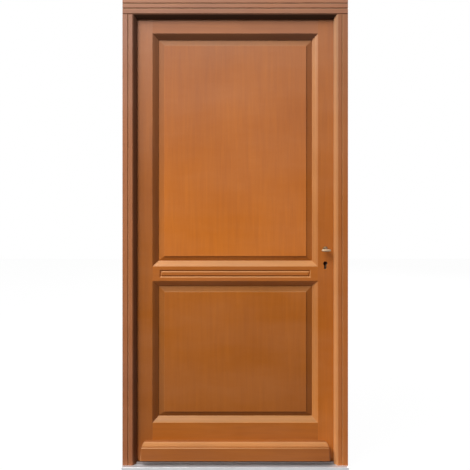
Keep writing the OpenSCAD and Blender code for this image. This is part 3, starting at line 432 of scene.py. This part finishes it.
def metal_material(name, colour, roughness, along, grain_width, metallic=1.0, sill_shadow=None):
    """Metal brushed along one axis, with clouds in its polish; the last argument is a painted shadow, a colour
    with its start and end in Y.
    """
    material, tree, shader = new_material(name)
    scale = tuple(0.03 if axis == along else 1.0 for axis in "XYZ")
    brushed = noise(tree, object_mapping(tree, scale), scale=1 / grain_width, detail=3.0,
                    roughness=0.6, place=(-800, 200))
    clouds = noise(tree, object_mapping(tree, (1, 1, 1)), scale=18.0, detail=3.0,
                   roughness=0.55, place=(-800, -200))
    surface = two_tone(tree, clouds, NOISE_RANGE, [c * 0.93 for c in colour], colour, (-350, 250))
    # painted shadow band along Y
    if sill_shadow:
        shadow_band, start, end = sill_shadow
        share = tone_along(tree, axes(tree, (-900, 600))["Y"], (start, 0.0), (end, 1.0), (-700, 600))
        surface = blend(tree, "MIX", share, surface, shadow_band, (-100, 300))
    tree.links.new(surface, shader.inputs["Base Color"])
    shader.inputs["Metallic"].default_value = metallic
    polish = span(tree, brushed, roughness - 0.05, roughness + 0.07, (-350, -50))
    tree.links.new(polish, shader.inputs["Roughness"])
    bump(tree, shader, brushed, strength=0.012, distance=0.0001, place=(-350, -300))
    return material


def soft_material(name, colour, roughness, scale):
    """Matt rubber or plastic with a fine moulded grain."""
    material, tree, shader = new_material(name)
    grain = noise(tree, object_mapping(tree, (1, 1, 1)), scale=scale, detail=4.0,
                  roughness=0.6, place=(-800, 200))
    clouds = noise(tree, object_mapping(tree, (1, 1, 1)), scale=9.0, detail=2.0,
                   roughness=0.5, place=(-800, -200))
    dark, light = [[min(1.0, c * tone) for c in colour] for tone in (0.8, 1.2)]
    surface = two_tone(tree, clouds, NOISE_RANGE, dark, light, (-350, 250))
    tree.links.new(surface, shader.inputs["Base Color"])
    matt = span(tree, grain, roughness - 0.06, roughness + 0.06, (-350, -50))
    tree.links.new(matt, shader.inputs["Roughness"])
    bump(tree, shader, grain, strength=0.15, distance=0.0001, place=(-350, -300))
    return material


def dress(node, material):
    """Gives a CAD node one material."""
    slots = NODES[node].material_slots
    if not slots:
        raise RuntimeError("node without a material slot: " + node)
    for slot in slots:
        slot.material = material


def soften(node, width, segments=2):
    """Softens the sharp edges of a CAD node with modifiers."""
    piece = NODES[node]
    weld = piece.modifiers.new("Join", "WELD")
    weld.merge_threshold = MERGE
    bevel = piece.modifiers.new("Arris", "BEVEL")
    bevel.width = width
    bevel.segments = segments
    bevel.limit_method = "ANGLE"
    bevel.angle_limit = math.radians(40)
    bevel.harden_normals = True


def finished(name, bm, material, body, smooth_angle=35):
    """Turns a bmesh into a piece that rides on a body."""
    mesh = bpy.data.meshes.new(name)
    bmesh.ops.recalc_face_normals(bm, faces=bm.faces)
    limit = math.radians(smooth_angle)
    for edge in bm.edges:
        edge.smooth = len(edge.link_faces) == 2 and edge.calc_face_angle(0) < limit
    for face in bm.faces:
        face.smooth = True
    bm.to_mesh(mesh)
    bm.free()
    piece = bpy.data.objects.new(name, mesh)
    bpy.context.scene.collection.objects.link(piece)
    mesh.materials.append(material)
    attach(piece, body)
    return piece


class DOOR_OT_wood(bpy.types.Operator):
    """Stain and varnish the frame and the leaf"""

    bl_idname = "front_door.wood"
    bl_label = "Wood"

    def execute(self, context):
        seed = 1
        for upright, group in ((True, UPRIGHT_WOOD), (False, LEVEL_WOOD)):
            for node, shade in group.items():
                dress(node, wood_material(node, upright, shade, seed))
                soften(node, context.scene.door_wood.arris)
                seed += 1
        return {"FINISHED"}


class DOOR_OT_metal(bpy.types.Operator):
    """Finish the threshold, the hinges and the lock"""

    bl_idname = "front_door.metal"
    bl_label = "Metal"

    def execute(self, context):
        metal = context.scene.door_metal
        aluminium = metal_material("Satin aluminium", metal.aluminium, 0.38, "X", 0.0016, 0.5)
        steel = metal_material("Hinge steel", metal.hinge, 0.36, "Z", 0.0014)
        lock = metal_material("Lock steel", metal.lock, 0.42, "Z", 0.0014)
        brass = metal_material("Washer brass", metal.brass, 0.30, "Z", 0.0010)
        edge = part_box("sill")[0].y
        # painted shadow on the threshold under the weatherboard
        shadow_band = (metal.sill_shadow, edge + SHADOW_START, edge + SHADOW_FULL)
        dress("sill_inner", aluminium)
        dress("sill", metal_material("Threshold aluminium", metal.aluminium, 0.38, "X", 0.0016, 0.5, shadow_band))
        for node in HINGE_HALVES + ["hinge_pins"]:
            dress(node, steel)
        for node in LOCK_STEEL + ["knob_pins", "sill_screws"]:
            dress(node, lock)
        for node in ("hinge_washers", "follower", "flap_pin"):
            dress(node, brass)
        # the flap's dark colour also paints the shade seen through the keyhole
        dress("keyhole_flap", metal_material("Blackened flap", metal.flap, 0.6, "Z", 0.0012, 0.8))
        for node in HINGE_HALVES + ["strike_plate", "lock_faceplate"]:
            soften(node, METAL_ARRIS)
        return {"FINISHED"}


class DOOR_OT_seals(bpy.types.Operator):
    """Finish the rubber seals and the insulating bar"""

    bl_idname = "front_door.seals"
    bl_label = "Seals"

    def execute(self, context):
        metal = context.scene.door_metal
        rubber = soft_material("Seal rubber", metal.rubber, 0.62, 700.0)
        plastic = soft_material("Insulating bar", metal.plastic, 0.5, 500.0)
        for node in SEALS:
            dress(node, rubber)
        dress("sill_break", plastic)
        return {"FINISHED"}


def screw_positions(node, side):
    """Middles of the screw heads of a CAD group, which point along X; side is the heads' end."""
    mesh = NODES[node].data
    bm = bmesh.new()
    bm.from_mesh(mesh)
    bmesh.ops.remove_doubles(bm, verts=bm.verts, dist=MERGE)
    places = []
    todo = set(bm.verts)
    while todo:
        island = {todo.pop()}
        edge = list(island)
        while edge:
            near = {e.other_vert(v) for v in edge for e in v.link_edges} - island
            island |= near
            edge = list(near)
        todo -= island
        x = [v.co.x for v in island]
        y = [v.co.y for v in island]
        z = [v.co.z for v in island]
        head = max(x) if side > 0 else min(x)
        places.append(Vector((head, (min(y) + max(y)) / 2, (min(z) + max(z)) / 2)))
    bm.free()
    return sorted(places, key=lambda p: (p.z, p.y))


def screw_mesh(bm, place, side, radius, length):
    """One countersunk screw with a six-lobed recess, its head facing side along X."""
    ring = bmesh.ops.create_circle(bm, cap_ends=True, segments=36, radius=radius)["verts"]
    top = next(f for f in bm.faces if set(f.verts) == set(ring))
    made = set(ring)
    lip = bmesh.ops.inset_individual(bm, faces=[top], thickness=radius * SCREW_LIP)
    socket = bmesh.ops.inset_individual(bm, faces=[top], thickness=radius * SCREW_SOCKET)
    for vert in top.verts:
        turn = math.atan2(vert.co.y, vert.co.x)
        vert.co *= 1 + SCREW_LOBE * math.cos(SCREW_LOBES * turn)
    floor = bmesh.ops.extrude_discrete_faces(bm, faces=[top])["faces"][0]
    bmesh.ops.translate(bm, verts=floor.verts, vec=(0, 0, -radius * SCREW_DEPTH))
    made |= {v for f in lip["faces"] + socket["faces"] + [floor] for v in f.verts}
    made |= {v for e in floor.edges for f in e.link_faces for v in f.verts}
    rim = [e for e in bm.edges if e.is_boundary and all(v in made for v in e.verts)]
    # neck under the head, shank and point
    for scale, depth in ((0.5, -radius * 0.5), (1.0, -length * 0.82), (0.12, -length * 0.15)):
        ext = bmesh.ops.extrude_edge_only(bm, edges=rim)
        verts = [g for g in ext["geom"] if isinstance(g, bmesh.types.BMVert)]
        rim = [g for g in ext["geom"] if isinstance(g, bmesh.types.BMEdge) and g.is_boundary]
        bmesh.ops.scale(bm, verts=verts, vec=(scale, scale, 1))
        bmesh.ops.translate(bm, verts=verts, vec=(0, 0, depth))
        made |= set(verts)
    bmesh.ops.contextual_create(bm, geom=rim)
    turn = Matrix.Rotation(math.radians(90 * side), 3, "Y")
    bmesh.ops.rotate(bm, verts=list(made), cent=(0, 0, 0), matrix=turn)
    bmesh.ops.translate(bm, verts=list(made), vec=place)


class DOOR_OT_screws(bpy.types.Operator):
    """Make the screws of the hinges, the strike plate and the faceplate"""

    bl_idname = "front_door.screws"
    bl_label = "Screws"

    head_radius: bpy.props.FloatProperty(
        name="Head radius", description="Radius of the countersunk heads", unit="LENGTH", default=0.004)
    length: bpy.props.FloatProperty(
        name="Length", description="Length of the screws", unit="LENGTH", default=0.025)

    def execute(self, context):
        steel = metal_material("Screw steel", context.scene.door_metal.hinge, 0.3, "Z", 0.0008)
        for node, side, body in (("frame_hinge_screws", 1, "frame"), ("leaf_hinge_screws", -1, "leaf"),
                                 ("strike_screws", -1, "frame"), ("faceplate_screws", 1, "leaf")):
            bm = bmesh.new()
            for place in screw_positions(node, side):
                single = bmesh.new()
                screw_mesh(single, place, side, self.head_radius, self.length)
                mesh = bpy.data.meshes.new("screw")
                single.to_mesh(mesh)
                single.free()
                bm.from_mesh(mesh)
                bpy.data.meshes.remove(mesh)
            piece = finished(node.replace("screws", "lobed_screws"), bm, steel, body)
            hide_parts(node)
        return {"FINISHED"}


def spun(bm, points, axis, steps, place):
    """Adds a line of points spun about an axis, then moved to its place."""
    before = set(bm.verts)
    verts = [bm.verts.new(point) for point in points]
    edges = [bm.edges.new(pair) for pair in zip(verts, verts[1:])]
    bmesh.ops.spin(bm, geom=verts + edges, cent=(0, 0, 0), axis=axis, angle=math.tau, steps=steps,
                   use_merge=True)
    made = [v for v in bm.verts if v not in before]
    bmesh.ops.remove_doubles(bm, verts=made, dist=SPIN_MERGE)
    bmesh.ops.translate(bm, verts=[v for v in bm.verts if v not in before], vec=place)


class DOOR_OT_knobs(bpy.types.Operator):
    """Turn the two knobs with their cross bars"""

    bl_idname = "front_door.knobs"
    bl_label = "Knobs"

    bar_radius: bpy.props.FloatProperty(
        name="Bar radius", description="Radius of the cross bar at its middle", unit="LENGTH", default=0.0065)
    neck_radius: bpy.props.FloatProperty(
        name="Neck radius", description="Radius of the neck's foot in the lock", unit="LENGTH", default=0.006)

    def execute(self, context):
        metal = metal_material("Polished knob metal", context.scene.door_metal.knob, 0.36, "X", 0.0009, 0.6)
        for node in ("outer_knob", "inner_knob"):
            low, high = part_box(node)
            outside = node == "outer_knob"
            bar_y = low.y + self.bar_radius if outside else high.y - self.bar_radius
            foot_y = high.y if outside else low.y
            middle = (low.x + high.x) / 2
            bm = bmesh.new()
            self.bar(bm, (high.x - low.x) / 2, Vector((middle, bar_y, low.z + self.bar_radius)))
            self.neck(bm, foot_y - bar_y, Vector((middle, bar_y, high.z - self.neck_radius)))
            piece = finished(node + "_turned", bm, metal, "knob", 50)
            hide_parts(node)
        return {"FINISHED"}

    def bar(self, bm, half, place):
        """Lens-shaped cross bar with rounded ends, spun about X."""
        points = []
        for i in range(BAR_STEPS + 1):
            t = math.pi * i / BAR_STEPS
            swell = BAR_END + (1 - BAR_END) * math.sin(t)
            across = 0.0
            if 0 < i < BAR_STEPS:
                across = self.bar_radius * swell * min(1.0, math.sin(t) * BAR_ROUNDING) ** 0.5
            points.append((-half * math.cos(t), 0, across))
        spun(bm, points, (1, 0, 0), 40, place)

    def neck(self, bm, reach, place):
        """Neck with a domed end and a swelling under the bar, spun about Y."""
        spun(bm, [(self.neck_radius * r, reach * t, 0) for t, r in NECK], (0, 1, 0), 32, place)


class DOOR_OT_stage(bpy.types.Operator):
    """Set up the floor, the soft lights and the camera"""

    bl_idname = "front_door.stage"
    bl_label = "Stage"

    def execute(self, context):
        stage = context.scene.door_stage
        self.floor()
        self.world(stage.ambient)
        for name, power, width, height, place, aim in LAMPS:
            self.lamp(name, getattr(stage, power), width, height, place, aim)
        self.camera(stage)
        context.scene.view_settings.view_transform = "Standard"
        return {"FINISHED"}

    def show_white(self, tree, seen, plain, white, output):
        """Shows a plain shader to the light, and white by the share that is seen."""
        mix = add(tree, "ShaderNodeMixShader", (250, 200))
        for source, socket in zip((seen, plain.outputs[0], white.outputs[0]), mix.inputs):
            tree.links.new(source, socket)
        white.inputs["Color"].default_value = (1, 1, 1, 1)
        tree.links.new(mix.outputs[0], tree.nodes[output].inputs["Surface"])

    def seen_share(self, tree):
        """1 for rays that see straight, in a mirroring face or through glass, 0 for the others."""
        rays = add(tree, "ShaderNodeLightPath", (-700, 300)).outputs
        straight = math_node(tree, "MAXIMUM", (rays["Is Camera Ray"], rays["Is Transmission Ray"]), (-500, 300))
        return math_node(tree, "MAXIMUM", (straight, rays["Is Glossy Ray"]), (-300, 300))

    def floor(self):
        bm = bmesh.new()
        bmesh.ops.create_grid(bm, x_segments=1, y_segments=1, size=FLOOR_SIZE)
        mesh = bpy.data.meshes.new("floor")
        bm.to_mesh(mesh)
        bm.free()
        floor = bpy.data.objects.new("floor", mesh)
        bpy.context.scene.collection.objects.link(floor)
        material, tree, shader = new_material("Pale floor")
        shader.inputs["Roughness"].default_value = 0.9
        seen = self.seen_share(tree)
        colour = two_tone(tree, seen, (0, 1), FLOOR_LIT, FLOOR_SEEN, (-150, 0))
        tree.links.new(colour, shader.inputs["Base Color"])
        share = math_node(tree, "MULTIPLY", (seen, FLOOR_WHITE), (0, 400))
        white = add(tree, "ShaderNodeEmission", (0, 250))
        self.show_white(tree, share, shader, white, "Material Output")
        mesh.materials.append(material)

    def world(self, ambient):
        world = bpy.data.worlds.new("Studio")
        bpy.context.scene.world = world
        world.use_nodes = True
        tree = world.node_tree
        soft = tree.nodes["Background"]
        soft.inputs["Color"].default_value = (1.0, 0.99, 0.98, 1)
        lean = facing(tree, "Generated", BRIGHT_WAY, (-700, 0))
        level = tone_along(tree, lean, (-0.3, 0.1 * ambient), (1.0, 2.0 * ambient), (-500, 0))
        tree.links.new(level, soft.inputs["Strength"])
        white = add(tree, "ShaderNodeBackground", (0, 250))
        self.show_white(tree, self.seen_share(tree), soft, white, "World Output")

    def lamp(self, name, power, width, height, place, aim):
        data = bpy.data.lights.new(name, "AREA")
        data.shape = "RECTANGLE"
        data.size = width
        data.size_y = height
        data.energy = power
        lamp = bpy.data.objects.new(name, data)
        bpy.context.scene.collection.objects.link(lamp)
        lamp.location = place
        lamp.rotation_euler = (Vector(aim) - Vector(place)).to_track_quat("-Z", "Y").to_euler()

    def camera(self, stage):
        data = bpy.data.cameras.new("Camera")
        data.sensor_width = 36
        data.lens = 40.37
        data.shift_x = -0.0005
        data.shift_y = -0.0745
        data.clip_end = 100
        camera = bpy.data.objects.new("Camera", data)
        bpy.context.scene.collection.objects.link(camera)
        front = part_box("lock_jamb")[0].y
        camera.location = (0, front - stage.distance, stage.height)
        camera.rotation_euler = (math.radians(90), 0, 0)
        bpy.context.scene.camera = camera


STEPS = (DOOR_OT_wood, DOOR_OT_metal, DOOR_OT_seals, DOOR_OT_screws, DOOR_OT_knobs, DOOR_OT_stage)


class DOOR_PT_sidebar(bpy.types.Panel):
    """Steps and looks of the front door"""

    bl_label = "Front Door"
    bl_idname = "DOOR_PT_sidebar"
    bl_space_type = "VIEW_3D"
    bl_region_type = "UI"
    bl_category = "Front Door"

    def draw(self, context):
        for group in ("door_wood", "door_metal", "door_stage"):
            settings = getattr(context.scene, group)
            box = self.layout.box()
            for prop in settings.bl_rna.properties:
                if not prop.is_readonly and prop.identifier != "name":
                    box.prop(settings, prop.identifier)
        for step in STEPS:
            self.layout.operator(step.bl_idname)


CLASSES = (WoodLook, MetalLook, StageLook) + STEPS + (DOOR_PT_sidebar,)


def register():
    for cls in CLASSES:
        bpy.utils.register_class(cls)
    bpy.types.Scene.door_wood = bpy.props.PointerProperty(type=WoodLook)
    bpy.types.Scene.door_metal = bpy.props.PointerProperty(type=MetalLook)
    bpy.types.Scene.door_stage = bpy.props.PointerProperty(type=StageLook)


def unregister():
    del bpy.types.Scene.door_stage
    del bpy.types.Scene.door_metal
    del bpy.types.Scene.door_wood
    for cls in reversed(CLASSES):
        bpy.utils.unregister_class(cls)


def main():
    register()
    bpy.ops.front_door.wood()
    bpy.ops.front_door.metal()
    bpy.ops.front_door.seals()
    bpy.ops.front_door.screws()
    bpy.ops.front_door.knobs()
    bpy.ops.front_door.stage()


if __name__ == "__main__":
    main()
